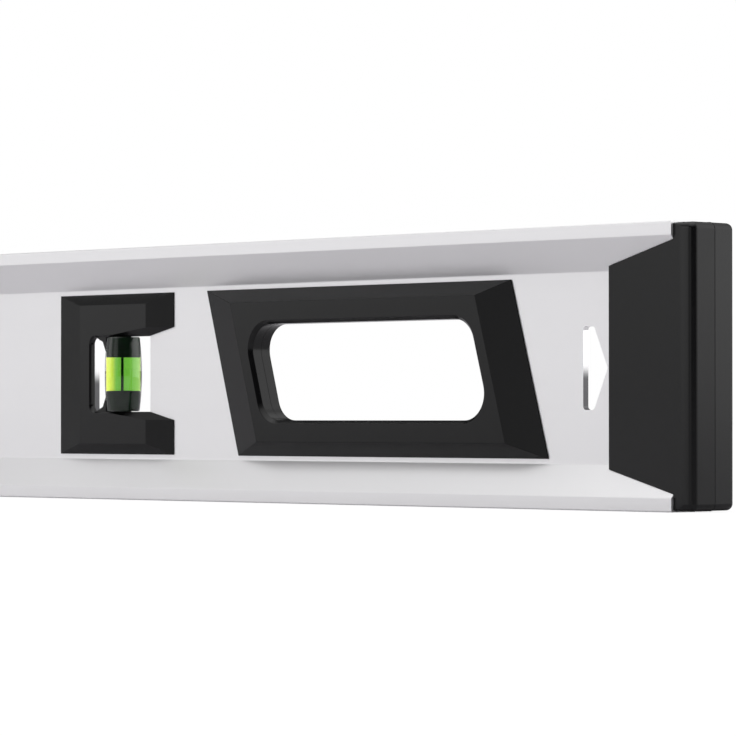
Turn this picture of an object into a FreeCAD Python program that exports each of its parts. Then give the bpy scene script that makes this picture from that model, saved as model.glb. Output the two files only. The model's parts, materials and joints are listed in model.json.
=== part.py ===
import FreeCAD, Part
import math
import os

# Plasterer's straightedge: an aluminium H-section with moulded end caps, two hand grips,
# a plumb vial near each end and a level vial in the middle.
# Millimetres. X runs along the edge, Y through its depth with the front at -Y, Z is up.
# The origin is the middle of the lower working edge.

# Aluminium profile
profile_length = 1000.0
profile_height = 100.0
profile_depth = 22.0
web_thickness = 2.8
band_height = 4.8
flange_height = 16.0
flange_wall = 1.6
working_edge_radius = 0.5
root_radius = 0.8

# Hang hole in the web
hang_tip_from_end = 37.6
hang_square_length = 5.2
hang_point_length = 6.5
hang_height = 29.6
hang_radius = 1.4

# End cap
cap_bumper_length = 10.4
cap_edge_relief = 0.5
cap_fillet = 2.4
cap_end_draft = 0.3
cap_ramp_length = 35.7
cap_ramp_step = 1.7
cap_ramp_shortfall = 1.0
cap_lug_length = 18.0
cap_lug_lead = 1.0
cap_fit = 0.15

# Hand grip, two half shells
grip_centre_from_end = 156.5
grip_shell_length = 163.5
grip_shell_rise = 4.4
grip_rim = 0.5
grip_end_bevel = 16.0
grip_side_bevel = 5.4
grip_margin = 1.75
grip_slant = 15.8
grip_hole_length = 119.0
grip_bar = 13.75
grip_hole_radius = 9.8
grip_lip = 1.4
grip_wall = 1.8
grip_collar_wall = 2.0
grip_rib = 1.2
grip_rib_pitch = 42.0
grip_tongue_spacing = 96.0
grip_tongue_length = 7.0
grip_tongue_thickness = 2.4
grip_pocket_wall = 1.4

# Vial housing, two half shells
plumb_axis_from_end = 299.5
housing_long = 69.3
housing_margin = 1.9
housing_rise = 2.5
housing_rim = 0.4
housing_short_bevel = 4.2
window_behind = 16.0
window_ahead = 18.1
window_set_back = 2.8
window_land = 3.7
window_past_flat = 0.1
level_land = 5.15
plumb_ahead = 32.4
notch_flare = 12.8
window_radius = 3.0
window_lip = 0.7
notch_lip = 3.3
notch_lip_run = 26.0
cradle_side = 6.4
cradle_throat = 2.0
cradle_depth = 2.6
socket_wall = 1.5
housing_tongue_length = 5.0
housing_tongue_thickness = 2.2
plumb_tongue_spacing = 27.0
plumb_tongue_ahead = 10.0
level_tongue_below = 14.0
level_tongue_above = 22.0

# Vial
vial_length = 29.7
vial_diameter = 14.9
vial_gap = 0.25
vial_bore = 10.2
band_length = 13.2
spigot_side = 4.6
spigot_length = 5.0
cup_side = 6.4
cup_floor = 1.6
plumb_air = 0.9
bubble_length = 8.4
bubble_width = 4.4
bubble_depth = 1.2

# Clearances shared by the mouldings, and the least metal between two cut-outs
web_fit = 0.3
web_bridge = 1.6
tongue_web_fit = 0.3
tongue_fit = 0.1
tongue_end_gap = 0.3
tongue_lead = 0.5
pocket_skin = 0.9
spigot_fit = 0.1

# Sizes that follow from the ones above
half_length = profile_length / 2
half_depth = profile_depth / 2
half_web = web_thickness / 2
mid_height = profile_height / 2
channel_height = profile_height - 2 * flange_height
flank_rise = flange_height - band_height
flank_run = half_depth - half_web
flank_length = math.hypot(flank_rise, flank_run)

origin = FreeCAD.Vector(0, 0, 0)
along_x = FreeCAD.Vector(1, 0, 0)
along_y = FreeCAD.Vector(0, 1, 0)
along_z = FreeCAD.Vector(0, 0, 1)


def on_web(x, z):
    """Point on the middle plane of the web."""
    return FreeCAD.Vector(x, 0, z)


def on_section(y, z):
    """Point on the profile's cross-section."""
    return FreeCAD.Vector(0, y, z)


def unit_towards(start, end):
    """Direction from one flat point to another."""
    gap = math.dist(start, end)
    return (end[0] - start[0]) / gap, (end[1] - start[1]) / gap


def corner_stops(corners, index, radius):
    """Where the round at a corner starts, its middle and where it ends."""
    corner = corners[index]
    back = unit_towards(corner, corners[index - 1])
    ahead = unit_towards(corner, corners[(index + 1) % len(corners)])
    half_angle = math.acos(back[0] * ahead[0] + back[1] * ahead[1]) / 2
    reach = radius / math.tan(half_angle)
    inward = unit_towards((0, 0), (back[0] + ahead[0], back[1] + ahead[1]))
    depth = radius / math.sin(half_angle) - radius
    start = (corner[0] + back[0] * reach, corner[1] + back[1] * reach)
    middle = (corner[0] + inward[0] * depth, corner[1] + inward[1] * depth)
    end = (corner[0] + ahead[0] * reach, corner[1] + ahead[1] * reach)
    return start, middle, end


def outline(corners, radii, place):
    """Face inside straight edges, each corner rounded by its own radius."""
    stops = [corner_stops(corners, index, radius) for index, radius in enumerate(radii)]
    edges = []
    for index, (start, middle, end) in enumerate(stops):
        following = stops[(index + 1) % len(stops)][0]
        if radii[index] > 0:
            edges.append(Part.Arc(place(*start), place(*middle), place(*end)).toShape())
        edges.append(Part.makeLine(place(*end), place(*following)))
    return Part.Face(Part.Wire(edges))


def web_prism(corners, radii, near, far):
    """Outline on the web plane, raised from one depth to another towards the front."""
    face = outline(corners, radii, on_web)
    face.translate(along_y * -near)
    return face.extrude(along_y * (near - far))


def polygon_face(points):
    """Flat face through points in order."""
    return Part.Face(Part.makePolygon(points + points[:1]))


def frustum(lower, upper, near, far):
    """Solid between two like outlines at two depths towards the front, all sides flat."""
    base = [FreeCAD.Vector(x, -near, z) for x, z in lower]
    top = [FreeCAD.Vector(x, -far, z) for x, z in upper]
    faces = [polygon_face(base), polygon_face(top)]
    for index in range(len(base)):
        faces.append(polygon_face([base[index - 1], base[index], top[index], top[index - 1]]))
    solid = Part.makeSolid(Part.makeShell(faces))
    if solid.Volume < 0:
        solid.reverse()
    return solid


def box_corners(x, z, length, height):
    """Corners of an upright rectangle about its middle."""
    side = length / 2
    rise = height / 2
    return [(x - side, z - rise), (x + side, z - rise), (x + side, z + rise), (x - side, z + rise)]


def block(x, z, length, height, near, far):
    """Rectangular block square to the web, from one depth to another towards the front."""
    corners = box_corners(x, z, length, height)
    return frustum(corners, corners, near, far)


def tongue(x, z, length, thickness, root, tip):
    """Snap tongue with a tapered tip, from its root in the front shell to behind the web."""
    tapered = box_corners(x, z, length - 2 * tongue_lead, thickness - 2 * tongue_lead)
    full = box_corners(x, z, length, thickness)
    shoulder = tip + tongue_lead
    return frustum(tapered, full, tip, shoulder).fuse(frustum(full, full, shoulder, root))


def rod(diameter, low, high):
    """Upright cylinder about Z, from one height to another."""
    return Part.makeCylinder(diameter / 2, high - low, FreeCAD.Vector(0, 0, low), along_z)


def square_bar(side, low, high):
    """Upright square bar about Z, from one height to another."""
    return Part.makeBox(side, side, high - low, FreeCAD.Vector(-side / 2, -side / 2, low))


def lip_edges(solid, depth, reach_x, reach_z):
    """Edges that lie at one depth towards the front, within a reach each way."""
    found = []
    for edge in solid.Edges:
        box = edge.BoundBox
        level = abs(box.YMin + depth) < 0.001 and box.YLength < 0.001
        inside = max(-box.XMin, box.XMax) < reach_x and max(-box.ZMin, box.ZMax) < reach_z
        if level and inside:
            found.append(edge)
    return found


def mirrored_x(shape):
    return shape.mirror(origin, along_x)


def mirrored_y(shape):
    return shape.mirror(origin, along_y)


def mirrored_z(shape):
    return shape.mirror(origin, along_z)


def at_station(shape, x):
    """Move a shape made about the middle of the web to its place along the profile."""
    moved = shape.copy()
    moved.translate(FreeCAD.Vector(x, 0, mid_height))
    return moved


# Profile section

def flank_height(depth, inset):
    """Height of the flange's sloping flank at a depth, moved in by an inset square to it."""
    drop = inset * flank_length / flank_run
    return band_height + (half_depth - depth) * flank_rise / flank_run - drop


def chamber_corners(inset):
    """Hollow of the lower flange, with its walls moved in by an inset."""
    wall = flange_wall + inset
    side = half_depth - wall
    roof = half_web
    return [
        (-side, wall),
        (side, wall),
        (side, flank_height(side, wall)),
        (roof, flank_height(roof, wall)),
        (-roof, flank_height(roof, wall)),
        (-side, flank_height(side, wall)),
    ]


def h_section():
    """Outer outline of the profile, flanges top and bottom, web between."""
    quarter = [(half_depth, 0), (half_depth, band_height), (half_web, flange_height)]
    quarter_radii = [working_edge_radius, working_edge_radius, root_radius]
    right = quarter + [(y, profile_height - z) for y, z in reversed(quarter)]
    corners = right + [(-y, z) for y, z in reversed(right)]
    radii = quarter_radii + quarter_radii[::-1]
    return outline(corners, radii + radii[::-1], on_section)


def hang_hole():
    """House-shaped hole that points to the end of the tool."""
    tip = half_length - hang_tip_from_end
    shoulder = tip - hang_point_length
    back = shoulder - hang_square_length
    side = hang_height / 2
    corners = [(back, -side), (shoulder, -side), (tip, 0), (shoulder, side), (back, side)]
    radii = [hang_radius] * len(corners)
    hole = web_prism(corners, radii, -half_depth, half_depth)
    return at_station(hole, 0)


def both_halves(right):
    """A cutter for the right half of the profile and its mirror image for the left."""
    return [right, mirrored_x(right)]


def profile():
    bar = h_section().extrude(along_x * profile_length)
    lower = polygon_face([on_section(y, z) for y, z in chamber_corners(0)])
    chamber = lower.extrude(along_x * profile_length)
    upper_chamber = mirrored_z(chamber)
    upper_chamber.translate(along_z * profile_height)
    bar = bar.cut([chamber, upper_chamber])
    bar.translate(along_x * -half_length)
    cutters = both_halves(hang_hole())
    cutters += both_halves(at_station(grip_web_cut(), grip_x()))
    cutters += both_halves(at_station(housing_web_cut(plumb_tongues()), plumb_x()))
    cutters.append(at_station(turned_up(housing_web_cut(level_tongues())), 0))
    return bar.cut(cutters)


# End cap

def cap_half_bumper():
    """Half of the block beyond the end of the profile, its outer edges rounded."""
    start = half_length
    end = start + cap_bumper_length
    foot = half_depth - cap_ramp_shortfall
    plan = [
        (start, 0),
        (start, foot),
        (start + cap_ramp_shortfall / cap_ramp_slope(), half_depth),
        (end - cap_end_draft, half_depth),
        (end, 0),
    ]
    face = polygon_face([FreeCAD.Vector(x, y, cap_edge_relief) for x, y in plan])
    bumper = face.extrude(along_z * (profile_height - 2 * cap_edge_relief))
    rounded = []
    for edge in bumper.Edges:
        box = edge.BoundBox
        outward = box.XMin > start + cap_ramp_shortfall / cap_ramp_slope() - 0.001
        upright = box.ZLength > cap_fillet
        if outward and not upright:
            rounded.append(edge)
        elif upright and abs(box.XMin - end + cap_end_draft) < 0.001:
            rounded.append(edge)
    return bumper.makeFillet(cap_fillet, rounded)


def cap_ramp_slope():
    """Rise of the ramp for each millimetre along the profile."""
    high = half_depth - cap_ramp_shortfall
    low = half_web + cap_ramp_step
    return (high - low) / cap_ramp_length


def cap_ramp():
    """Wedge that fills the channel beside the web and rises to the bumper."""
    inner = half_web + cap_fit
    start = half_length - cap_ramp_length
    high = half_depth - cap_ramp_shortfall
    low = half_web + cap_ramp_step
    plan = [(start, inner), (half_length, inner), (half_length, high), (start, low)]
    wedge = polygon_face([FreeCAD.Vector(x, y, 0) for x, y in plan])
    wedge = wedge.extrude(along_z * profile_height)
    floor_in = flank_height(inner, -cap_fit)
    floor_out = flank_height(high, -cap_fit)
    channel = [
        (inner, floor_in),
        (high, floor_out),
        (high, profile_height - floor_out),
        (inner, profile_height - floor_in),
    ]
    filling = polygon_face([FreeCAD.Vector(start, y, z) for y, z in channel])
    return wedge.common(filling.extrude(along_x * cap_ramp_length))


def cap_lug():
    """Plug that pushes into the hollow of the lower flange."""
    section = polygon_face([on_section(y, z) for y, z in chamber_corners(cap_fit)])
    lug = section.extrude(along_x * cap_lug_length)
    lead = [edge for edge in lug.Edges if edge.BoundBox.XMax < cap_lug_lead / 2]
    lug = lug.makeChamfer(cap_lug_lead, lead)
    lug.translate(along_x * (half_length - cap_lug_length))
    return lug


def end_cap():
    half = cap_half_bumper()
    ramp = cap_ramp()
    lug = cap_lug()
    upper_lug = mirrored_z(lug)
    upper_lug.translate(along_z * profile_height)
    joined = half.fuse([mirrored_y(half), ramp, mirrored_y(ramp), lug, upper_lug])
    return joined.removeSplitter()


# Hand grip

def grip_x():
    return half_length - grip_centre_from_end


def grip_height():
    return channel_height - 2 * grip_margin


def slanted_corners(length, height):
    """Parallelogram with level long sides, its top leaning to the left."""
    lean = math.tan(math.radians(grip_slant)) * height / 2
    side = length / 2
    rise = height / 2
    return [(lean - side, -rise), (lean + side, -rise), (side - lean, rise), (-side - lean, rise)]


def grip_hole(grow, near, far):
    """The hand hole, its edge moved outwards by a distance."""
    height = grip_height() - 2 * grip_bar + 2 * grow
    length = grip_hole_length + 2 * grow / math.cos(math.radians(grip_slant))
    radius = min(grip_hole_radius + grow, height / 2.2)
    corners = slanted_corners(length, height)
    return web_prism(corners, [radius] * len(corners), near, far)


def grip_web_cut():
    """Cut-outs in the web for the grip's collar and its four tongues."""
    hole = grip_hole(grip_collar_wall + web_fit, -half_depth, half_depth)
    return Part.makeCompound([hole] + tongue_slots(grip_tongues(), *grip_tongue_size()))


def grip_tongue_size():
    return grip_tongue_length, grip_tongue_thickness


def grip_tongues():
    """Middles of the four tongues, in the bars above and below the hand hole."""
    height = (grip_height() - grip_bar) / 2
    lean = math.tan(math.radians(grip_slant)) * height
    half = grip_tongue_spacing / 2
    return [(sx * half - sz * lean, sz * height) for sx in (-1, 1) for sz in (-1, 1)]


def tongue_slots(middles, length, thickness):
    """Slots in the web that the tongues pass through."""
    room = 2 * tongue_web_fit
    return [block(x, z, length + room, thickness + room, -half_depth, half_depth) for x, z in middles]


def grip_body(sunk):
    """Bevelled outer form of a grip shell, moved towards the web by a distance."""
    foot = slanted_corners(grip_shell_length, grip_height())
    flat_length = grip_shell_length - 2 * grip_end_bevel
    flat = slanted_corners(flat_length, grip_height() - 2 * grip_side_bevel)
    brim = half_web + grip_rim - sunk
    form = frustum(foot, flat, brim, half_web + grip_shell_rise - sunk)
    return form if sunk > 0 else form.fuse(frustum(foot, foot, half_web, brim))


def grip_hollow(kept):
    """Space under the shell's skin, less the collar, ribs and what else is kept."""
    reach = grip_shell_length
    space = web_prism(slanted_corners(reach, reach), [0] * 4, half_web, half_depth)
    space = grip_body(grip_wall).common(space)
    ribs = []
    count = int(grip_shell_length / grip_rib_pitch)
    for index in range(count):
        x = (index - (count - 1) / 2) * grip_rib_pitch
        corners = slanted_corners(grip_rib, grip_height())
        rib = web_prism(corners, [0] * 4, half_web, half_depth)
        rib.translate(along_x * x)
        ribs.append(rib)
    return space.cut([grip_hole(grip_collar_wall, 0, half_depth)] + ribs + kept)


def grip_shell(has_tongues):
    """Front half of a hand grip about the middle of the web, with tongues or pockets."""
    top = half_web + grip_shell_rise
    underside = top - grip_wall
    length, thickness = grip_tongue_size()
    surround = 0 if has_tongues else 2 * (tongue_fit + grip_pocket_wall)
    kept = [
        block(x, z, length + surround, thickness + surround, half_web, top)
        for x, z in grip_tongues()
    ]
    shell = grip_body(0).cut(grip_hollow(kept))
    shell = shell.fuse(grip_hole(grip_collar_wall, 0, underside))
    shell = shell.cut(grip_hole(0, -half_depth, half_depth)).removeSplitter()
    reach_x = grip_hole_length / 2 + grip_hole_radius
    reach_z = (grip_height() - grip_bar) / 2
    shell = shell.makeChamfer(grip_lip, lip_edges(shell, top, reach_x, reach_z))
    return joined_by_tongues(shell, grip_tongues(), length, thickness, underside, top, has_tongues)


def joined_by_tongues(shell, middles, length, thickness, root, top, has_tongues):
    """Give a shell its tongues, or the pockets that the other shell's tongues enter."""
    depth = top - pocket_skin
    if has_tongues:
        tip = tongue_end_gap - depth
        return shell.fuse([tongue(x, z, length, thickness, root, tip) for x, z in middles])
    room = 2 * tongue_fit
    return shell.cut([block(x, z, length + room, thickness + room, 0, depth) for x, z in middles])


# Vial housing, made with its notch towards +X and its vial along Z

def plumb_x():
    return half_length - plumb_axis_from_end


def housing_short():
    return channel_height - 2 * housing_margin


def plumb_bevels():
    """Lengths of the slopes at the closed side of the window and at its open side."""
    behind = housing_long - plumb_ahead - window_behind - window_set_back - window_land
    return behind, plumb_ahead - window_ahead + window_past_flat


def level_bevel():
    """Length of the slopes beside the window in the upright housing."""
    return housing_long / 2 - window_half() - level_land


def turned_up(shape):
    """Turn a housing or vial so that its notch points up and its vial lies level."""
    turned = shape.copy()
    turned.rotate(origin, along_y, -90)
    return turned


def window_half():
    return vial_length / 2 + vial_gap


def socket_side():
    return spigot_side + 2 * spigot_fit


def holder_corners(side, grow):
    """Outline of the block that carries one spigot, above or below the window."""
    height = spigot_length + spigot_fit + socket_wall
    middle = side * (window_half() + height / 2)
    return box_corners(0, middle, socket_side() + 2 * (socket_wall + grow), height + 2 * grow)


def housing_tongue_size():
    return housing_tongue_length, housing_tongue_thickness


def between_cuts():
    """Least distance from a shell's window to a tongue beside it, past both web cut-outs."""
    return web_fit + web_bridge + tongue_web_fit


def plumb_tongues():
    z = window_half() + between_cuts() + housing_tongue_thickness / 2
    ends = (plumb_tongue_ahead - plumb_tongue_spacing, plumb_tongue_ahead)
    return [(x, side * z) for x in ends for side in (-1, 1)]


def level_tongues():
    beside = between_cuts() + housing_tongue_length / 2
    low = -window_behind - window_set_back - beside
    high = window_ahead + beside
    spots = ((low, level_tongue_below), (high, level_tongue_above))
    return [(x, side * z) for x, z in spots for side in (-1, 1)]


def notch_half(edge):
    """Half width of the notch where it leaves the housing."""
    return window_half() + math.tan(math.radians(notch_flare)) * (edge - window_ahead)


def window_prism(edge, set_back):
    """See-through window with the notch that opens from it past the housing's edge."""
    half = window_half()
    wide = notch_half(edge)
    behind = -window_behind - set_back
    corners = [
        (behind, -half),
        (window_ahead, -half),
        (edge, -wide),
        (edge, wide),
        (window_ahead, half),
        (behind, half),
    ]
    radii = [window_radius, 0, 0, 0, 0, window_radius]
    return web_prism(corners, radii, -half_depth, half_depth)


def notch_lip_corners(edge, out):
    """Outline of the notch and of the window's sides that lead to it, moved out by a distance."""
    start = window_half() - (window_behind + window_ahead) * notch_lip / notch_lip_run
    half = [(-window_behind, start), (window_ahead, window_half()), (edge, notch_half(edge))]
    lower = [(x, -z - out) for x, z in half]
    return lower + [(x, z + out) for x, z in reversed(half)]


def notch_lip_cut(edge):
    """Cutter for the sloping lip, which grows towards the notch and leads a finger in."""
    brim = half_web + housing_rim
    slope = notch_lip / (housing_rise - housing_rim)
    inner = notch_lip_corners(edge, 0)
    outer = notch_lip_corners(edge, slope * housing_rise)
    return frustum(inner, outer, brim, brim + housing_rise)


def housing_web_cut(tongues):
    """Cut-outs in the web for the window, the blocks above and below it and the tongues."""
    behind = -window_behind - web_fit
    length = window_ahead - behind
    height = 2 * (window_half() + web_fit)
    cuts = [block(behind + length / 2, 0, length, height, -half_depth, half_depth)]
    for side in (-1, 1):
        corners = holder_corners(side, web_fit)
        cuts.append(frustum(corners, corners, -half_depth, half_depth))
    return Part.makeCompound(cuts + tongue_slots(tongues, *housing_tongue_size()))


def cradles():
    """Hollowed gussets in the closed corners of the window, which the vial's ends lean against."""
    stop = -vial_diameter / 2 - vial_gap
    steps = ((0, 0), (cradle_side, 0), (cradle_throat, cradle_throat), (0, cradle_side))
    made = []
    for side in (-1, 1):
        corners = [(stop - back, side * (window_half() - down)) for back, down in steps]
        made.append(frustum(corners, corners, 0, cradle_depth))
    return made


def spigot_sockets():
    """Square sockets above and below the window, open towards the vial."""
    upper = square_bar(socket_side(), 0, window_half() + spigot_length + spigot_fit)
    return [upper, mirrored_z(upper)]


def housing_shell(middle, length, height, bevels, bevel_z, tongues, has_tongues):
    """Front half of a vial housing about its vial, with tongues or pockets."""
    foot = box_corners(middle, 0, length, height)
    behind, ahead = bevels
    centre = middle + (behind - ahead) / 2
    flat = box_corners(centre, 0, length - behind - ahead, height - 2 * bevel_z)
    top = half_web + housing_rise
    brim = half_web + housing_rim
    shell = frustum(foot, foot, half_web, brim).fuse(frustum(foot, flat, brim, top))
    holders = [holder_corners(side, 0) for side in (-1, 1)]
    shell = shell.fuse([frustum(corners, corners, 0, brim) for corners in holders])
    edge = middle + length / 2
    set_back = 0 if has_tongues else window_set_back
    shell = shell.cut(window_prism(edge + housing_rise, set_back)).removeSplitter()
    lips = lip_edges(shell, top, edge, notch_half(edge))
    shell = shell.makeChamfer(window_lip, lips)
    shell = shell.cut([notch_lip_cut(edge + housing_rise)] + spigot_sockets()).fuse(cradles())
    size = housing_tongue_size()
    return joined_by_tongues(shell, tongues, *size, brim, top, has_tongues)


def plumb_shell(has_tongues):
    middle = plumb_ahead - housing_long / 2
    bevels = (plumb_bevels(), housing_short_bevel)
    sizes = (housing_long, housing_short())
    return housing_shell(middle, *sizes, *bevels, plumb_tongues(), has_tongues)


def level_shell(has_tongues):
    bevels = ((housing_short_bevel, housing_short_bevel), level_bevel())
    sizes = (housing_short(), housing_long)
    return turned_up(housing_shell(0, *sizes, *bevels, level_tongues(), has_tongues))


# Vial, made about its middle with its axis along Z and its cupped plug up

def cup_top():
    return vial_length / 2 - cup_floor


def vial_tube():
    """Clear tube, open at both ends."""
    end = vial_length / 2
    return rod(vial_diameter, -end, end).cut(rod(vial_bore, -end, end))


def upper_plug():
    """Bung in the upper end of the tube, with the square spigot that carries it."""
    end = vial_length / 2
    spigot = square_bar(spigot_side, end, end + spigot_length)
    return rod(vial_bore, band_length / 2, end).fuse(spigot)


def cup_plug():
    """Upper bung with a square cup in it, where an upright vial's bubble lies out of sight."""
    return upper_plug().cut(square_bar(cup_side, band_length / 2, cup_top()))


def vial_liquid(top):
    """Liquid between the plugs and in the cup of the upper one, up to a height."""
    band = rod(vial_bore, -band_length / 2, band_length / 2)
    return band.fuse(square_bar(cup_side, band_length / 2, top))


def plumb_liquid():
    """At rest the bubble of an upright vial lies over the liquid at its top end."""
    return vial_liquid(cup_top() - plumb_air)


def level_liquid():
    """The bubble floats midway between the plugs, against the top of the bore."""
    floor = vial_bore / 2 - bubble_depth
    side = bubble_width / 2
    straight = (bubble_length - bubble_width) / 2
    corner = FreeCAD.Vector(floor, -side, -straight)
    bubble = Part.makeBox(vial_bore, bubble_width, 2 * straight, corner)
    middles = [FreeCAD.Vector(floor, 0, end) for end in (-straight, straight)]
    bubble = bubble.fuse([Part.makeCylinder(side, vial_bore, middle, along_x) for middle in middles])
    return vial_liquid(cup_top()).cut(bubble)


def vial_pieces(liquid):
    """The pieces of one vial by the end of their names."""
    return {
        "": vial_tube(),
        "_cup_plug": cup_plug(),
        "_plug": mirrored_z(upper_plug()),
        "_liquid": liquid,
    }


def build_nodes():
    """Every piece by its name, in its place."""
    nodes = {"profile": profile(), "end_cap_right": end_cap()}
    for side, has_tongues in (("front", True), ("back", False)):
        shells = {
            "grip_" + side + "_right": at_station(grip_shell(has_tongues), grip_x()),
            "plumb_housing_" + side + "_right": at_station(plumb_shell(has_tongues), plumb_x()),
            "level_housing_" + side: at_station(level_shell(has_tongues), 0),
        }
        for name, shell in shells.items():
            nodes[name] = shell if side == "front" else mirrored_y(shell)
    for ending, piece in vial_pieces(plumb_liquid()).items():
        nodes["plumb_vial" + ending + "_right"] = at_station(piece, plumb_x())
    for name in [name for name in nodes if name.endswith("_right")]:
        nodes[name.replace("_right", "_left")] = mirrored_x(nodes[name])
    level_pieces = {ending: turned_up(piece) for ending, piece in vial_pieces(level_liquid()).items()}
    for ending, piece in level_pieces.items():
        nodes["level_vial" + ending] = at_station(piece, 0)
    return nodes


def export_nodes():
    os.makedirs("parts", exist_ok=True)
    for name, shape in build_nodes().items():
        shape.exportStep("parts/" + name + ".step")


export_nodes()
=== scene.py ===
import json
import math

import bmesh
import bpy
from bpy.props import FloatProperty, FloatVectorProperty, IntProperty, PointerProperty
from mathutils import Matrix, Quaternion, Vector


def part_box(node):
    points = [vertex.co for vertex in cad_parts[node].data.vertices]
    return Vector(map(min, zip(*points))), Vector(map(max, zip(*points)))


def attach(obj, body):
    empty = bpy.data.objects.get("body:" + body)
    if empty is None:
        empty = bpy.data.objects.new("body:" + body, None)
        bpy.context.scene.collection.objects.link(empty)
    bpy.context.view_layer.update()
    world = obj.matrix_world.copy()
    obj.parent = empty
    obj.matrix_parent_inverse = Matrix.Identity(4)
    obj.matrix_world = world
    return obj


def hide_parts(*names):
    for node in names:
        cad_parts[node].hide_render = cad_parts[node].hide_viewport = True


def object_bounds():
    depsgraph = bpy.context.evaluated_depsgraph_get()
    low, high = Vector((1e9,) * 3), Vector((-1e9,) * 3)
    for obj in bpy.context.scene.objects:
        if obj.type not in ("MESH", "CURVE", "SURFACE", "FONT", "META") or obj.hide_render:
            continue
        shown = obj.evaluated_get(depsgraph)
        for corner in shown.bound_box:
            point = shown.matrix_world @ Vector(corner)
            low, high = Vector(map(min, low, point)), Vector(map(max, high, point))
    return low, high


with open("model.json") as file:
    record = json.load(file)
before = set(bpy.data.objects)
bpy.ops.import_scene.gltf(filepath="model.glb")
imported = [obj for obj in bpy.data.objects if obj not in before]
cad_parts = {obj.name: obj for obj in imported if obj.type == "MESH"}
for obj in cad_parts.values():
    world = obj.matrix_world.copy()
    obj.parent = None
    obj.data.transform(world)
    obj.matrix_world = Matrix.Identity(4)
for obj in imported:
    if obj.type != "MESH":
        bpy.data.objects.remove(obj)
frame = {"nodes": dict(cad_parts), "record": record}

bl_info = {
    "name": "Plasterer's straightedge",
    "version": (1, 0, 0),
    "blender": (4, 5, 0),
    "location": "3D View > Sidebar > Straightedge",
    "description": "Finishes an aluminium straightedge with its mouldings and vials",
    "category": "Object",
}

# Metres, in the frame of the solids: X along the edge, the front at -Y, Z up.
cad_low, cad_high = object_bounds()

BODY = "root"
SIDES = ("right", "left")
FACES = ("front", "back")
MID_HEIGHT = (cad_low.z + cad_high.z) / 2

# Faces and edges of the solids' meshes
SAME_POINT = 1e-6
FLAT_ANGLE = math.radians(1.0)
SLIGHT_ANGLE = math.radians(2.0)
SHARP_ANGLE = math.radians(24.0)
HARD_ANGLE = math.radians(50.0)
BROAD_FACE = 0.0038

# Surfaces and light
BLACK = (0.0, 0.0, 0.0, 1.0)
WHITE = (1.0, 1.0, 1.0, 1.0)
METAL_SHARE = 0.62
CUT_POLISH = 0.2
PLASTIC_INDEX = 1.32
PLUG_INDEX = 1.12
WALL_SHEEN = 0.35
BACKDROP_GLOW = 1.12
BACKDROP_SHARE = 0.8


# Settings

class ProfileSettings(bpy.types.PropertyGroup):
    """Finish of the aluminium extrusion."""

    colour: FloatVectorProperty(
        name="Aluminium", description="Colour of the anodised surface",
        subtype="COLOR", size=3, min=0.0, max=1.0, default=(0.88, 0.875, 0.885))
    roughness: FloatProperty(
        name="Roughness", description="How soft its reflections are",
        subtype="FACTOR", min=0.0, max=1.0, default=0.36)
    line_pitch: FloatProperty(
        name="Die line pitch", description="Distance between the fine lines that the die leaves",
        unit="LENGTH", min=0.0001, max=0.01, default=0.0009)
    line_depth: FloatProperty(
        name="Die line depth", description="Depth of those lines",
        unit="LENGTH", min=0.0, max=0.001, default=0.000004)
    cut_depth: FloatProperty(
        name="Cut edge depth",
        description="Distance from the middle of the web to where its cut edges end",
        unit="LENGTH", min=0.0, max=0.002, default=0.00136)
    # Painted reflection: this dark colour goes on the lower half of the cut-outs and stands for the
    # dark that the bare metal mirrors there.
    cut_painted_reflection: FloatVectorProperty(
        name="Cut edges", description="Painted dark reflection in the lower half of the cut-outs",
        subtype="COLOR", size=3, min=0.0, max=1.0, default=(0.10, 0.10, 0.105))


class MouldingSettings(bpy.types.PropertyGroup):
    """Finish and edges of the black mouldings."""

    colour: FloatVectorProperty(
        name="Plastic", description="Colour of the plastic all through",
        subtype="COLOR", size=3, min=0.0, max=1.0, default=(0.0035, 0.0035, 0.0038))
    roughness: FloatProperty(
        name="Roughness", description="How soft its reflections are",
        subtype="FACTOR", min=0.0, max=1.0, default=0.18)
    grain: FloatProperty(
        name="Grain size", description="Size of the matt texture of the mould",
        unit="LENGTH", min=0.00005, max=0.002, default=0.00035)
    grain_depth: FloatProperty(
        name="Grain depth", description="Depth of that texture",
        unit="LENGTH", min=0.0, max=0.0005, default=0.000005)
    cap_round: FloatProperty(
        name="Cap edge round", description="Round on the end caps' sharp edges",
        unit="LENGTH", min=0.0, max=0.002, default=0.0003)
    grip_round: FloatProperty(
        name="Grip edge round", description="Round on the hand grips' edges",
        unit="LENGTH", min=0.0, max=0.002, default=0.00035)
    housing_round: FloatProperty(
        name="Housing edge round", description="Round on the vial housings' edges",
        unit="LENGTH", min=0.0, max=0.002, default=0.00028)
    parting_width: FloatProperty(
        name="Parting line",
        description="Width of the fine bead that the mould leaves on an end cap",
        unit="LENGTH", min=0.00005, max=0.001, default=0.00024)
    parting_steps: IntProperty(
        name="Parting line sides", description="Sides of the bead's round section",
        min=3, max=24, default=8)


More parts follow.
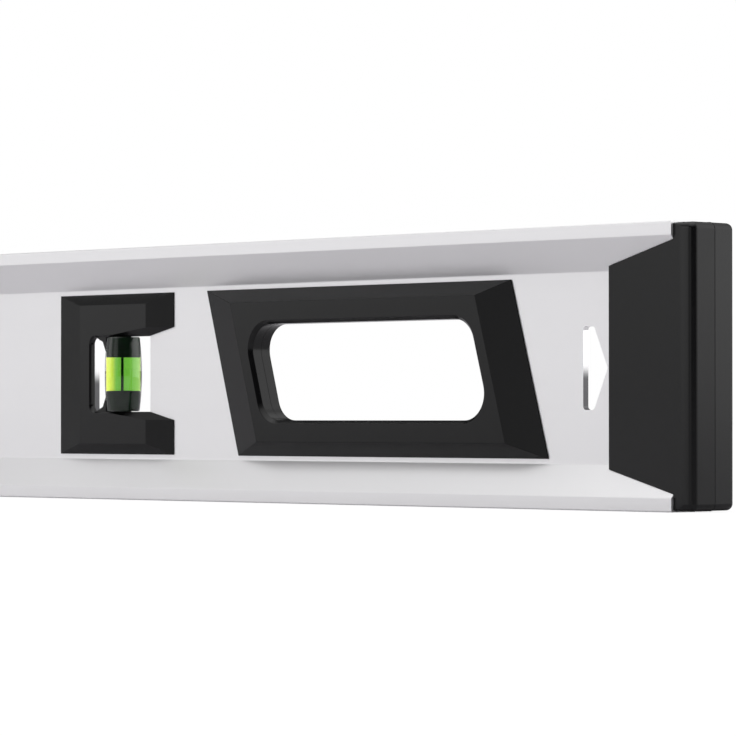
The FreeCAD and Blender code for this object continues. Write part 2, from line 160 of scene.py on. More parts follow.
class VialSettings(bpy.types.PropertyGroup):
    """Finish of the vials."""

    tube_colour: FloatVectorProperty(
        name="Tube", description="Tint of the clear tube",
        subtype="COLOR", size=3, min=0.0, max=1.0, default=(0.95, 1.0, 0.93))
    liquid_colour: FloatVectorProperty(
        name="Liquid", description="Colour of light that has passed through the liquid",
        subtype="COLOR", size=3, min=0.0, max=1.0, default=(0.18, 0.62, 0.02))
    # The green in this colour is painted light from the green liquid beside the plugs; the plugs
    # themselves are black.
    plug_colour: FloatVectorProperty(
        name="Plugs", description="Colour of the black plugs",
        subtype="COLOR", size=3, min=0.0, max=1.0, default=(0.003, 0.014, 0.005))
    # Painted light: the glow is emission painted on the side of the liquid towards the light. It is
    # partly the dye's real glow and partly painted light for the bright light that shines through
    # the liquid.
    painted_glow_colour: FloatVectorProperty(
        name="Glow", description="Colour that the dye gives off where the light enters it",
        subtype="COLOR", size=3, min=0.0, max=1.0, default=(0.36, 0.20, 0.0))
    tube_index: FloatProperty(
        name="Tube index", description="Refractive index of the tube",
        min=1.0, max=2.5, default=1.49)
    liquid_index: FloatProperty(
        name="Liquid index", description="Refractive index of the liquid",
        min=1.0, max=2.5, default=1.36)
    edge_round: FloatProperty(
        name="Edge round", description="Round on the tube's and plugs' edges",
        unit="LENGTH", min=0.0, max=0.002, default=0.0003)
    bore: FloatProperty(
        name="Bore", description="Width of the tube's bore",
        unit="LENGTH", min=0.001, max=0.05, default=0.0102)
    barrel: FloatProperty(
        name="Barrel", description="How much fuller the tube is in the middle than at its ends",
        unit="LENGTH", min=0.0, max=0.003, default=0.0009)
    film: FloatProperty(
        name="Film", description="Gap between the bore and what fills it",
        unit="LENGTH", min=0.0, max=0.001, default=0.00004)
    dye: FloatProperty(
        name="Dye",
        description="How strongly the liquid takes up red and blue light, for each metre",
        min=0.0, max=2000.0, default=205.0)
    line_width: FloatProperty(
        name="Mould line", description="Width of the line that the mould leaves along the bore",
        unit="LENGTH", min=0.00005, max=0.001, default=0.00065)
    line_turn: FloatProperty(
        name="Mould line turn", description="How far round the bore from its back the line lies",
        subtype="ANGLE", default=math.radians(7.5))


class StageSettings(bpy.types.PropertyGroup):
    """Camera, light and floor."""

    azimuth: FloatProperty(
        name="Camera azimuth", description="Angle of the view round the tool",
        subtype="ANGLE", default=math.radians(45.5))
    pitch: FloatProperty(
        name="Camera pitch", description="Angle of the view above level",
        subtype="ANGLE", default=math.radians(0.784))
    camera_place: FloatVectorProperty(
        name="Camera place", description="Where the camera stands",
        subtype="TRANSLATION", unit="LENGTH", size=3, default=(1.338, -0.980, 0.032))
    lens: FloatProperty(
        name="Lens", description="Focal length in millimetres on a sensor 36 mm wide",
        min=10.0, max=500.0, default=182.4)
    floor_colour: FloatVectorProperty(
        name="Floor", description="Colour of the floor",
        subtype="COLOR", size=3, min=0.0, max=1.0, default=(0.62, 0.61, 0.63))
    fill_light: FloatProperty(
        name="Fill light", description="Strength of the light from every side",
        min=0.0, max=5.0, default=0.03)
    left_light: FloatProperty(
        name="Left light", description="Strength of the soft light that the flat faces mirror",
        min=0.0, max=5.0, default=1.98)
    side_light: FloatProperty(
        name="Side light", description="Strength of the faint light that the left bevels mirror",
        min=0.0, max=5.0, default=0.6)
    front_light: FloatProperty(
        name="Front light", description="Strength of the light that the right bevels mirror",
        min=0.0, max=5.0, default=1.1)
    end_light: FloatProperty(
        name="End light", description="Strength of the soft light that the end of the tool mirrors",
        min=0.0, max=5.0, default=2.4)
    top_light: FloatProperty(
        name="Top light", description="Strength of the soft light overhead",
        min=0.0, max=5.0, default=2.1)


# Shader graphs

class Wire:
    """An output socket that can be used in Python expressions, which add their own nodes."""

    def __init__(self, graph, socket):
        self.graph = graph
        self.socket = socket

    def __add__(self, other):
        return self.graph.math("ADD", self, other)

    def __radd__(self, other):
        return self.graph.math("ADD", other, self)

    def __sub__(self, other):
        return self.graph.math("SUBTRACT", self, other)

    def __rsub__(self, other):
        return self.graph.math("SUBTRACT", other, self)

    def __mul__(self, other):
        return self.graph.math("MULTIPLY", self, other)

    def __rmul__(self, other):
        return self.graph.math("MULTIPLY", other, self)

    def __pow__(self, other):
        return self.graph.math("POWER", self, other)


class Graph:
    """The nodes of one material or of the world."""

    def __init__(self, tree):
        self.tree = tree
        tree.nodes.clear()

    def node(self, kind, settings, sockets):
        """Add a node: its settings are set first, then the values or links of its sockets."""
        made = self.tree.nodes.new(kind)
        for name, value in settings.items():
            setattr(made, name, value)
        for key, value in sockets.items():
            if isinstance(value, Wire):
                self.tree.links.new(value.socket, made.inputs[key])
            else:
                made.inputs[key].default_value = value
        return made

    def wire(self, kind, settings, sockets, output=0):
        """Add a node and give one of its outputs."""
        return Wire(self, self.node(kind, settings, sockets).outputs[output])

    def math(self, operation, first, second):
        return self.wire("ShaderNodeMath", {"operation": operation}, {0: first, 1: second})

    def dot(self, first, second):
        """How far one direction reaches along another."""
        settings = {"operation": "DOT_PRODUCT"}
        return self.wire("ShaderNodeVectorMath", settings, {0: first, 1: second}, "Value")

    def object_place(self, scale):
        """Object coordinates, stretched by a scale on each axis."""
        place = self.wire("ShaderNodeTexCoord", {}, {}, "Object")
        return self.wire("ShaderNodeMapping", {}, {"Vector": place, "Scale": scale})

    def noise(self, scale, detail, size=1.0):
        """Noise from 0 to 1, with its own stretch on each axis."""
        sockets = {"Vector": self.object_place(scale), "Scale": size, "Detail": detail}
        return self.wire("ShaderNodeTexNoise", {}, sockets, "Fac")

    def blend(self, share, first, second):
        """Mix two colours by a share from 0 to 1."""
        settings = {"data_type": "RGBA"}
        return self.wire("ShaderNodeMix", settings, {"Factor": share, 6: first, 7: second}, 2)

    def bump(self, height, depth, strength):
        sockets = {"Height": height, "Distance": depth, "Strength": strength}
        return self.wire("ShaderNodeBump", {}, sockets)

    def seen_straight(self):
        """1 for what the camera sees straight or only through clear walls, and 0 for the rest."""
        path = self.node("ShaderNodeLightPath", {}, {}).outputs
        direct = Wire(self, path["Is Camera Ray"]) + Wire(self, path["Is Transmission Ray"])
        turned = Wire(self, path["Glossy Depth"]) + Wire(self, path["Diffuse Depth"])
        return direct * self.math("LESS_THAN", turned, 0.5)

    def surface(self, shader):
        kind = "ShaderNodeOutputWorld" if isinstance(self.tree.id_data, bpy.types.World) else None
        self.node(kind or "ShaderNodeOutputMaterial", {}, {"Surface": shader})


def new_material(name):
    """An empty node material and its graph."""
    material = bpy.data.materials.new(name)
    material.use_nodes = True
    return material, Graph(material.node_tree)


def solid_colour(colour):
    return (*colour, 1.0)


def shaded(colour, factor):
    """A colour made lighter or darker by a factor."""
    return (*(min(1.0, channel * factor) for channel in colour), 1.0)


# Materials

def satin_aluminium(settings):
    """Anodised extrusion: fine lines along its length, slightly uneven sheen."""
    material, graph = new_material("satin_aluminium")
    across = 1.0 / settings.line_pitch
    lines = graph.noise((across * 0.004, across, across), 3.0)
    clouds = graph.noise((9.0, 26.0, 26.0), 2.0)
    speckle = graph.noise((5200.0, 5200.0, 5200.0), 1.0)
    colour = graph.blend(clouds, shaded(settings.colour, 0.97), shaded(settings.colour, 1.02))
    # Painted reflection: the lower half of the web's cut edges is darkened to stand for the dark
    # that they mirror.
    cut, dark = cut_edges(graph, settings)
    colour = graph.blend(dark, colour, solid_colour(settings.cut_painted_reflection))
    rough = settings.roughness + (lines - 0.5) * 0.10 + (clouds - 0.5) * 0.05
    height = lines * 0.8 + speckle * 0.2
    shader = graph.wire("ShaderNodeBsdfPrincipled", {}, {
        "Base Color": colour,
        "Metallic": METAL_SHARE,
        "Roughness": rough - cut * CUT_POLISH,
        "Normal": graph.bump(height, settings.line_depth, 1.0),
    })
    graph.surface(shader)
    return material


def cut_edges(graph, settings):
    """Where the web's cut edges are, and where a painted dark reflection stands for the dark that
    they mirror: below the web's middle.
    """
    place = graph.wire("ShaderNodeTexCoord", {}, {}, "Object")
    axes = graph.node("ShaderNodeSeparateXYZ", {}, {"Vector": place}).outputs
    depth = Wire(graph, axes["Y"])
    off_middle = graph.wire("ShaderNodeMath", {"operation": "ABSOLUTE"}, {0: depth})
    inside = graph.math("LESS_THAN", off_middle, settings.cut_depth)
    fade = graph.wire("ShaderNodeMapRange", {"interpolation_type": "SMOOTHSTEP"}, {
        "Value": Wire(graph, axes["Z"]),
        "From Min": MID_HEIGHT + 0.002,
        "From Max": MID_HEIGHT - 0.004,
    })
    return inside, inside * fade


def moulded_plastic(name, settings):
    """Black plastic with the fine matt texture of its mould."""
    material, graph = new_material(name)
    across = 1.0 / settings.grain
    grain = graph.noise((across, across, across), 2.0)
    patches = graph.noise((60.0, 60.0, 60.0), 3.0)
    colour = graph.blend(patches, shaded(settings.colour, 0.8), shaded(settings.colour, 1.3))
    shader = graph.wire("ShaderNodeBsdfPrincipled", {}, {
        "Base Color": colour,
        "Roughness": settings.roughness + (patches - 0.5) * 0.08 + (grain - 0.5) * 0.06,
        "IOR": PLASTIC_INDEX,
        "Normal": graph.bump(grain, settings.grain_depth, 1.0),
    })
    graph.surface(shader)
    return material


def clear_wall(name, colour, index):
    """A polished surface that light passes, with a given refractive index."""
    material, graph = new_material(name)
    haze = graph.noise((300.0, 300.0, 300.0), 2.0)
    shader = graph.wire("ShaderNodeBsdfPrincipled", {}, {
        "Base Color": graph.blend(haze, shaded(colour, 0.985), shaded(colour, 1.0)),
        "Roughness": haze * 0.004,
        "IOR": index,
        "Specular IOR Level": WALL_SHEEN,
        "Transmission Weight": 1.0,
    })
    graph.surface(shader)
    return material


def green_liquid(name, settings, middle, lit_side):
    """Liquid whose dye deepens with depth, with a painted glow on the side towards the light,
    partly the dye's real glow and partly painted light for the bright light that shines through it
    there.
    """
    material, graph = new_material(name)
    drift = graph.noise((120.0, 120.0, 120.0), 1.0)
    place = graph.wire("ShaderNodeTexCoord", {}, {}, "Object")
    offset = graph.wire("ShaderNodeVectorMath", {"operation": "SUBTRACT"}, {0: place, 1: middle})
    reach = graph.dot(offset, lit_side)
    nearness = graph.wire("ShaderNodeMapRange", {"interpolation_type": "SMOOTHSTEP"}, {
        "Value": reach, "From Min": settings.bore * 0.20, "From Max": settings.bore * 0.40,
    })
    shader = graph.wire("ShaderNodeBsdfPrincipled", {}, {
        "Base Color": graph.blend(drift, (0.80, 0.98, 0.36, 1.0), (0.84, 1.0, 0.40, 1.0)),
        "Roughness": 0.0,
        "IOR": 1.0,
        "Transmission Weight": 1.0,
        # Painted light: emission on the liquid's side towards the light, standing in for the bright
        # light that shines through it.
        "Emission Color": graph.blend(nearness, BLACK, solid_colour(settings.painted_glow_colour)),
        "Emission Strength": 1.0,
    })
    dye = graph.wire("ShaderNodeVolumeAbsorption", {}, {
        "Color": solid_colour(settings.liquid_colour), "Density": settings.dye,
    })
    graph.node("ShaderNodeOutputMaterial", {}, {"Surface": shader, "Volume": dye})
    return material


def moulded_line(settings):
    """Dull dark green of the mould line inside the tube."""
    material, graph = new_material("mould_line")
    spots = graph.noise((800.0, 800.0, 800.0), 1.0)
    shader = graph.wire("ShaderNodeBsdfPrincipled", {}, {
        "Base Color": graph.blend(spots, (0.004, 0.05, 0.006, 1.0), (0.006, 0.07, 0.01, 1.0)),
        "Roughness": 0.6,
    })
    graph.surface(shader)
    return material


def plug_black(settings):
    """Smooth black plastic of the plugs, with a faint green painted into its colour for the green
    light from the liquid beside it.
    """
    material, graph = new_material("plug_black")
    marks = graph.noise((900.0, 900.0, 900.0), 2.0)
    colour = settings.plug_colour
    shader = graph.wire("ShaderNodeBsdfPrincipled", {}, {
        "Base Color": graph.blend(marks, shaded(colour, 0.7), shaded(colour, 1.6)),
        "Roughness": 0.30 + marks * 0.10,
        "IOR": PLUG_INDEX,
    })
    graph.surface(shader)
    return material


def floor_paint(settings):
    """Pale matt floor that the camera sees as white, with the tool's shadow left on it."""
    material, graph = new_material("floor_paint")
    unevenness = graph.noise((7.0, 7.0, 7.0), 2.0)
    pale = settings.floor_colour
    colour = graph.blend(unevenness, shaded(pale, 0.99), solid_colour(pale))
    matt = graph.wire("ShaderNodeBsdfDiffuse", {}, {"Color": colour})
    white = graph.wire("ShaderNodeEmission", {}, {"Color": WHITE, "Strength": BACKDROP_GLOW})
    share = graph.seen_straight() * BACKDROP_SHARE
    graph.surface(graph.wire("ShaderNodeMixShader", {}, {"Fac": share, 1: matt, 2: white}))
    return material


# Meshes

def merged_solid(node):
    """The faces of a CAD node without the doubled points and the cuts across its flat faces."""
    work = bmesh.new()
    work.from_mesh(frame["nodes"][node].data)
    bmesh.ops.remove_doubles(work, verts=work.verts, dist=SAME_POINT)
    bmesh.ops.dissolve_limit(work, angle_limit=FLAT_ANGLE, verts=work.verts, edges=work.edges)
    bmesh.ops.recalc_face_normals(work, faces=work.faces)
    points = [tuple(vertex.co) for vertex in work.verts]
    faces = [[vertex.index for vertex in face.verts] for face in work.faces]
    work.free()
    return points, faces


def new_object(name, points, faces):
    mesh = bpy.data.meshes.new(name)
    mesh.from_pydata(points, [], faces)
    mesh.validate()
    made = bpy.data.objects.new(name, mesh)
    bpy.context.scene.collection.objects.link(made)
    return made


def settle_modifiers(piece):
    """Turn a piece and its modifiers into one plain mesh."""
    graph = bpy.context.evaluated_depsgraph_get()
    settled = bpy.data.meshes.new_from_object(piece.evaluated_get(graph))
    piece.modifiers.clear()
    old = piece.data
    piece.data = settled
    bpy.data.meshes.remove(old)


def smooth_over(piece, angle=SHARP_ANGLE):
    """Shade a piece smooth, apart from its sharp edges."""
    piece.data.polygons.foreach_set("use_smooth", [True] * len(piece.data.polygons))
    piece.data.set_sharp_from_angle(angle=angle)


def is_broad(face):
    """Whether a face is a flat of its own and no strip of a curved one."""
    return face.calc_area() / max(edge.calc_length() for edge in face.edges) > BROAD_FACE


def mark_creases(piece):
    """Mark the sharp edges, and the slight ones between broad faces, and split hollow faces."""
    work = bmesh.new()
    work.from_mesh(piece.data)
    weights = work.edges.layers.float.new("bevel_weight_edge")
    for edge in work.edges:
        turn = edge.calc_face_angle(0.0)
        slight = turn > SLIGHT_ANGLE and all(is_broad(face) for face in edge.link_faces)
        if turn > SHARP_ANGLE or slight:
            edge[weights] = 1.0
    bmesh.ops.connect_verts_concave(work, faces=work.faces)
    work.to_mesh(piece.data)
    work.free()


def rounded_copy(node, name, radius, segments=2):
    """A copy of a CAD node with its marked edges rounded and its flats shaded evenly."""
    piece = new_object(name, *merged_solid(node))
    mark_creases(piece)
    bevel = piece.modifiers.new("edge_round", "BEVEL")
    bevel.width = radius
    bevel.segments = segments
    bevel.limit_method = "WEIGHT"
    settle_modifiers(piece)
    smooth_over(piece, HARD_ANGLE)
    even = piece.modifiers.new("even_flats", "WEIGHTED_NORMAL")
    even.keep_sharp = True
    settle_modifiers(piece)
    return piece


def finish_piece(piece, node, material):
    """Give a piece its material and its body, look up the slot of the node that it stands for, and
    hide that node.
    """
    if not piece.data.materials:
        piece.data.materials.append(material)
    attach(piece, BODY)
    node_slot(node)
    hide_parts(node)


def node_slot(node):
    for part in frame["record"]["subparts"]:
        if part["node"] == node:
            return part["material_slot"]
    raise RuntimeError("no subpart is named " + node)


def new_tree(name, inputs):
    """An empty node group for a modifier, with named inputs."""
    tree = bpy.data.node_groups.new(name, "GeometryNodeTree")
    tree.interface.new_socket("Geometry", in_out="INPUT", socket_type="NodeSocketGeometry")
    for title, kind in inputs:
        tree.interface.new_socket(title, in_out="INPUT", socket_type=kind)
    tree.interface.new_socket("Geometry", in_out="OUTPUT", socket_type="NodeSocketGeometry")
    return tree


def set_inputs(modifier, values):
    """Set a modifier's inputs by the identifiers of their sockets."""
    for socket in modifier.node_group.interface.items_tree:
        if socket.in_out == "INPUT" and socket.name in values:
            modifier[socket.identifier] = values[socket.name]


def bead_tree():
    """Round bead that follows an open or closed line of edges."""
    tree = new_tree("parting_bead", (
        ("Width", "NodeSocketFloat"),
        ("Sides", "NodeSocketInt"),
        ("Material", "NodeSocketMaterial"),
    ))
    nodes = tree.nodes
    links = tree.links
    start = nodes.new("NodeGroupInput")
    path = nodes.new("GeometryNodeMeshToCurve")
    section = nodes.new("GeometryNodeCurvePrimitiveCircle")
    halved = nodes.new("ShaderNodeMath")
    halved.operation = "MULTIPLY"
    halved.inputs[1].default_value = 0.5
    sweep = nodes.new("GeometryNodeCurveToMesh")
    sweep.inputs["Fill Caps"].default_value = True
    smooth = nodes.new("GeometryNodeSetShadeSmooth")
    whole = nodes.new("GeometryNodeRealizeInstances")
    paint = nodes.new("GeometryNodeSetMaterial")
    end = nodes.new("NodeGroupOutput")
    links.new(start.outputs["Geometry"], path.inputs["Mesh"])
    links.new(start.outputs["Width"], halved.inputs[0])
    links.new(halved.outputs[0], section.inputs["Radius"])
    links.new(start.outputs["Sides"], section.inputs["Resolution"])
    links.new(path.outputs["Curve"], sweep.inputs["Curve"])
    links.new(section.outputs["Curve"], sweep.inputs["Profile Curve"])
    links.new(sweep.outputs["Mesh"], smooth.inputs["Geometry"])
    links.new(smooth.outputs["Geometry"], whole.inputs["Geometry"])
    links.new(whole.outputs["Geometry"], paint.inputs["Geometry"])
    links.new(start.outputs["Material"], paint.inputs["Material"])
    links.new(paint.outputs["Geometry"], end.inputs["Geometry"])
    return tree


def swept_bead(name, points, tree, values):
    """A bead along a line of points, as one plain mesh."""
    edges = [(index, index + 1) for index in range(len(points) - 1)]
    mesh = bpy.data.meshes.new(name + "_path")
    mesh.from_pydata(points, edges, [])
    bead = bpy.data.objects.new(name, mesh)
    bpy.context.scene.collection.objects.link(bead)
    modifier = bead.modifiers.new(name, "NODES")
    modifier.node_group = tree
    set_inputs(modifier, values)
    settle_modifiers(bead)
    return bead


# Operators

class StraightedgeOperator:
    """What the operators share."""

    bl_options = {"REGISTER", "UNDO"}

    def scene_settings(self, context, name):
        return getattr(context.scene, "straightedge_" + name)


class STRAIGHTEDGE_OT_dress_profile(StraightedgeOperator, bpy.types.Operator):
    """Give the aluminium extrusion its anodised finish"""

    bl_idname = "straightedge.dress_profile"
    bl_label = "Dress profile"

    def execute(self, context):
        settings = self.scene_settings(context, "profile")
        profile = frame["nodes"]["profile"]
        profile.data.materials.clear()
        profile.data.materials.append(satin_aluminium(settings))
        return {"FINISHED"}


class STRAIGHTEDGE_OT_make_end_caps(StraightedgeOperator, bpy.types.Operator):
    """Make the two end caps with their soft edges and parting lines"""

    bl_idname = "straightedge.make_end_caps"
    bl_label = "Make end caps"

    def execute(self, context):
        settings = self.scene_settings(context, "moulding")
        plastic = moulded_plastic("end_cap_black", settings)
        tree = bead_tree()
        for side in SIDES:
            node = "end_cap_" + side
            cap = rounded_copy(node, node + "_moulding", settings.cap_round)
            finish_piece(cap, node, plastic)
            self.add_parting_line(side, settings, tree, plastic)
        return {"FINISHED"}

    def add_parting_line(self, side, settings, tree, plastic):
        """A fine bead round the end of the cap, midway between its front and its back."""
        low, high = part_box("end_cap_" + side)
        turn = 1.0 if side == "right" else -1.0
        end = high.x if side == "right" else low.x
        corner = 0.0024
        start = 0.008
        line = []
        for rise, slope in ((high.z, -1.0), (low.z, 1.0)):
            line.append(self.corner_points(end, rise, turn, slope, corner, start))
        points = line[0] + line[1][::-1]
        bead = swept_bead("end_cap_parting_line_" + side, points, tree, {
            "Width": settings.parting_width,
            "Sides": settings.parting_steps,
            "Material": plastic,
        })
        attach(bead, BODY)

    def corner_points(self, end, rise, turn, slope, corner, start):
        """Half of the line: along the top or bottom, round the corner and onto the end."""
        points = [(end - turn * start, 0.0, rise)]
        steps = 6
        for step in range(steps + 1):
            angle = math.radians(90.0) * step / steps
            along = end - turn * corner * (1.0 - math.sin(angle))
            height = rise + slope * corner * (1.0 - math.cos(angle))
            points.append((along, 0.0, height))
        return points


class STRAIGHTEDGE_OT_make_grips(StraightedgeOperator, bpy.types.Operator):
    """Make the half shells of the two hand grips with rounded edges"""

    bl_idname = "straightedge.make_grips"
    bl_label = "Make hand grips"

    def execute(self, context):
        settings = self.scene_settings(context, "moulding")
        plastic = moulded_plastic("grip_black", settings)
        for side in SIDES:
            for face in FACES:
                node = "grip_" + face + "_" + side
                shell = rounded_copy(node, node + "_moulding", settings.grip_round, 3)
                finish_piece(shell, node, plastic)
        return {"FINISHED"}


class STRAIGHTEDGE_OT_make_housings(StraightedgeOperator, bpy.types.Operator):
    """Make the half shells of the vial housings with rounded edges"""

    bl_idname = "straightedge.make_housings"
    bl_label = "Make vial housings"

    def execute(self, context):
        settings = self.scene_settings(context, "moulding")
        plastic = moulded_plastic("housing_black", settings)
        nodes = ["plumb_housing_" + face + "_" + side for side in SIDES for face in FACES]
        nodes += ["level_housing_" + face for face in FACES]
        for node in nodes:
            shell = rounded_copy(node, node + "_moulding", settings.housing_round)
            finish_piece(shell, node, plastic)
        return {"FINISHED"}


class STRAIGHTEDGE_OT_make_vials(StraightedgeOperator, bpy.types.Operator):
    """Make the clear tubes, the black plugs and the green liquid of the three vials"""

    bl_idname = "straightedge.make_vials"
    bl_label = "Make vials"

    def execute(self, context):
        settings = self.scene_settings(context, "vial")
        black = plug_black(settings)
        inner_index = settings.tube_index / settings.liquid_index
        clear = clear_wall("tube_clear", settings.tube_colour, settings.tube_index)
        wetted = clear_wall("tube_wetted", (1.0, 1.0, 1.0), inner_index)
        line = moulded_line(settings)
        tree = bead_tree()
        names = (("plumb_vial", "_right"), ("plumb_vial", "_left"), ("level_vial", ""))
        # Painted light: the side of each liquid that gets the painted glow; the level vial gets
        # none.
        painted_glow_side = {"plumb_vial": Vector((-0.70, -0.71, 0.0)), "level_vial": Vector((0.0, 0.0, 0.0))}
        for prefix, ending in names:
            for part in ("_cup_plug", "_plug"):
                node = prefix + part + ending
                plug = rounded_copy(node, node + "_turned", settings.edge_round)
                self.draw_in(plug, prefix + ending, settings)
                finish_piece(plug, node, black)
            middle = self.axis_of(prefix + ending)[0]
            green = green_liquid(prefix + "_green" + ending, settings, middle, painted_glow_side[prefix])
            node = prefix + "_liquid" + ending
            liquid = new_object(node + "_fill", *merged_solid(node))
            smooth_over(liquid)
            self.draw_in(liquid, prefix + ending, settings)
            finish_piece(liquid, node, green)
            node = prefix + ending
            tube = self.barrel(node, settings)
            tube.data.materials.append(clear)
            finish_piece(tube, node, wetted)
            tube.data.materials.append(wetted)
            self.add_mould_line(node, settings, tree, line)
        return {"FINISHED"}

    def axis_of(self, node):
        """Middle of a vial, the direction of its axis and its two sizes."""
        low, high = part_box(node)
        size = high - low
        index = max(range(3), key=lambda index: size[index])
        axis = Vector((0.0, 0.0, 0.0))
        axis[index] = 1.0
        return (low + high) / 2, axis, size[index] / 2, size.y / 2

    def draw_in(self, piece, vial, settings):
        """Leave a hair's breadth between a piece and the bore that it fills."""
        middle, axis, _, radius = self.axis_of(vial)
        share = 1.0 - settings.film / radius
        for vertex in piece.data.vertices:
            offset = vertex.co - middle
            along = axis * offset.dot(axis)
            vertex.co = middle + along + (offset - along) * share

    def barrel(self, node, settings):
        """The tube turned about its axis, a little fuller in the middle, with its bore."""
        middle, axis, half, radius = self.axis_of(node)
        edge = settings.edge_round
        outer = []
        rings = 14
        for ring in range(rings + 1):
            along = (half - edge) * (2.0 * ring / rings - 1.0)
            outer.append((radius - settings.barrel * (along / half) ** 2, along))
        bore = settings.bore / 2
        last = outer[-1][0]
        section = outer + [(last - edge, half), (bore, half), (bore, -half), (last - edge, -half)]
        back = Vector((0.0, 1.0, 0.0))
        across = axis.cross(back)
        points = []
        faces = []
        steps = 96
        for step in range(steps):
            angle = math.radians(360.0) * step / steps
            outward = across * math.cos(angle) + back * math.sin(angle)
            points += [tuple(middle + outward * reach + axis * along) for reach, along in section]
        count = len(section)
        for step in range(steps):
            here = step * count
            there = (step + 1) % steps * count
            for index in range(count):
                following = (index + 1) % count
                faces.append((here + index, here + following, there + following, there + index))
        tube = new_object(node + "_tube", points, faces)
        smooth_over(tube)
        for index, face in enumerate(tube.data.polygons):
            face.material_index = 1 if index % count == rings + 2 else 0
        return tube

    def add_mould_line(self, node, settings, tree, line):
        """Fine line that the mould leaves along the back of the bore."""
        middle, axis, half, _ = self.axis_of(node)
        back = Vector((0.0, 1.0, 0.0))
        across = axis.cross(back)
        outward = (back - across * across.x).normalized()
        outward.rotate(Quaternion(axis, settings.line_turn))
        foot = middle + outward * (settings.bore / 2 - settings.line_width)
        points = [tuple(foot - axis * half * 0.9), tuple(foot + axis * half * 0.9)]
        values = {"Width": settings.line_width, "Sides": 8, "Material": line}
        bead = swept_bead(node + "_mould_line", points, tree, values)
        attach(bead, BODY)


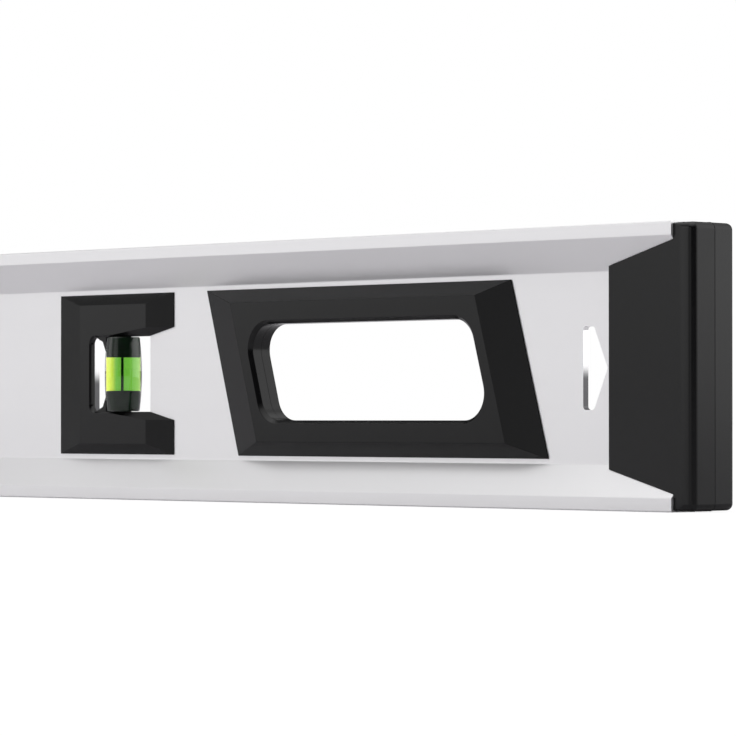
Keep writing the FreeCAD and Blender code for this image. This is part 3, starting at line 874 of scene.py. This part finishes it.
class STRAIGHTEDGE_OT_set_stage(StraightedgeOperator, bpy.types.Operator):
    """Set the floor, the studio light and the camera"""

    bl_idname = "straightedge.set_stage"
    bl_label = "Set stage"

    def execute(self, context):
        settings = self.scene_settings(context, "stage")
        self.lay_floor(settings)
        self.light_world(context, settings)
        place, target = (0.35, -0.35, 1.3), (0.3, 0.0, 0.05)
        self.hang_lamp("overhead_softbox", place, target, size=1.6, power=5.0)
        self.place_camera(context, settings)
        context.scene.view_settings.view_transform = "Standard"
        return {"FINISHED"}

    def lay_floor(self, settings):
        reach = 12.0
        signs = ((-1, -1), (1, -1), (1, 1), (-1, 1))
        corners = [(reach * x, reach * y, 0.0) for x, y in signs]
        floor = new_object("floor", corners, [(0, 1, 2, 3)])
        floor.data.materials.append(floor_paint(settings))

    def light_world(self, context, settings):
        """White to look at, with soft lights for what the tool mirrors."""
        world = bpy.data.worlds.new("studio")
        world.use_nodes = True
        context.scene.world = world
        graph = Graph(world.node_tree)
        # Strength, turn and rise of the middle, where it is full, where it ends, and its fall
        lights = (
            (settings.left_light, -92.0, 11.0, 0.0, 24.0, 1.3),
            (settings.side_light, -123.0, 8.0, 6.0, 28.0, 1.0),
            (settings.front_light, -50.0, 6.0, 4.0, 22.0, 1.0),
            (settings.end_light, 91.0, 8.0, 10.0, 46.0, 1.0),
            (settings.top_light, 0.0, 90.0, 15.0, 64.0, 1.0),
        )
        total = settings.fill_light
        for strength, turn, rise, core, edge, falloff in lights:
            shape = self.soft_light(graph, settings, turn, rise, core, edge)
            total = shape ** falloff * strength + total
        lit = graph.wire("ShaderNodeBackground", {}, {"Strength": total})
        white = graph.wire("ShaderNodeBackground", {}, {"Color": WHITE})
        share = graph.seen_straight()
        graph.surface(graph.wire("ShaderNodeMixShader", {}, {"Fac": share, 1: lit, 2: white}))

    def soft_light(self, graph, settings, turn, rise, core, edge):
        """Round soft light: full within one angle of its middle, gone at another."""
        azimuth = settings.azimuth + math.radians(turn)
        height = math.radians(rise)
        level = math.cos(height)
        middle = (math.sin(azimuth) * level, -math.cos(azimuth) * level, math.sin(height))
        direction = graph.wire("ShaderNodeTexCoord", {}, {}, "Generated")
        nearness = graph.dot(direction, middle)
        return graph.wire("ShaderNodeMapRange", {}, {
            "Value": nearness,
            "From Min": math.cos(math.radians(edge)),
            "From Max": math.cos(math.radians(core)),
        })

    def hang_lamp(self, name, place, target, size, power):
        lamp = bpy.data.lights.new(name, "AREA")
        lamp.shape = "SQUARE"
        lamp.size = size
        lamp.energy = power
        hung = bpy.data.objects.new(name, lamp)
        hung.location = place
        hung.rotation_mode = "QUATERNION"
        hung.rotation_quaternion = (Vector(target) - Vector(place)).to_track_quat("-Z", "Y")
        bpy.context.scene.collection.objects.link(hung)

    def place_camera(self, context, settings):
        data = bpy.data.cameras.new("camera")
        data.sensor_width = 36.0
        data.lens = settings.lens
        data.clip_start = 0.01
        data.clip_end = 100.0
        camera = bpy.data.objects.new("camera", data)
        camera.location = settings.camera_place
        level = math.cos(settings.pitch)
        forward = Vector((
            -math.sin(settings.azimuth) * level,
            math.cos(settings.azimuth) * level,
            math.sin(settings.pitch),
        ))
        camera.rotation_mode = "QUATERNION"
        camera.rotation_quaternion = forward.to_track_quat("-Z", "Y")
        context.scene.collection.objects.link(camera)
        context.scene.camera = camera


class STRAIGHTEDGE_PT_parts(bpy.types.Panel):
    """The pieces of the straightedge, in the order in which they are made"""

    bl_label = "Straightedge"
    bl_idname = "STRAIGHTEDGE_PT_parts"
    bl_space_type = "VIEW_3D"
    bl_region_type = "UI"
    bl_category = "Straightedge"

    def draw(self, context):
        for operator in OPERATORS:
            self.layout.operator(operator.bl_idname)
        for name, group in SETTINGS.items():
            box = self.layout.box()
            box.label(text=group.__doc__)
            for field in group.__annotations__:
                box.prop(getattr(context.scene, "straightedge_" + name), field)


SETTINGS = {
    "profile": ProfileSettings,
    "moulding": MouldingSettings,
    "vial": VialSettings,
    "stage": StageSettings,
}
OPERATORS = (
    STRAIGHTEDGE_OT_set_stage,
    STRAIGHTEDGE_OT_dress_profile,
    STRAIGHTEDGE_OT_make_end_caps,
    STRAIGHTEDGE_OT_make_grips,
    STRAIGHTEDGE_OT_make_housings,
    STRAIGHTEDGE_OT_make_vials,
)


def register():
    for group in (*SETTINGS.values(), *OPERATORS, STRAIGHTEDGE_PT_parts):
        bpy.utils.register_class(group)
    for name, group in SETTINGS.items():
        setattr(bpy.types.Scene, "straightedge_" + name, PointerProperty(type=group))


def unregister():
    for name in SETTINGS:
        delattr(bpy.types.Scene, "straightedge_" + name)
    for group in (STRAIGHTEDGE_PT_parts, *reversed(OPERATORS), *SETTINGS.values()):
        bpy.utils.unregister_class(group)


def main():
    register()
    for operator in OPERATORS:
        getattr(bpy.ops.straightedge, operator.bl_idname.split(".")[1])()


if __name__ == "__main__":
    main()
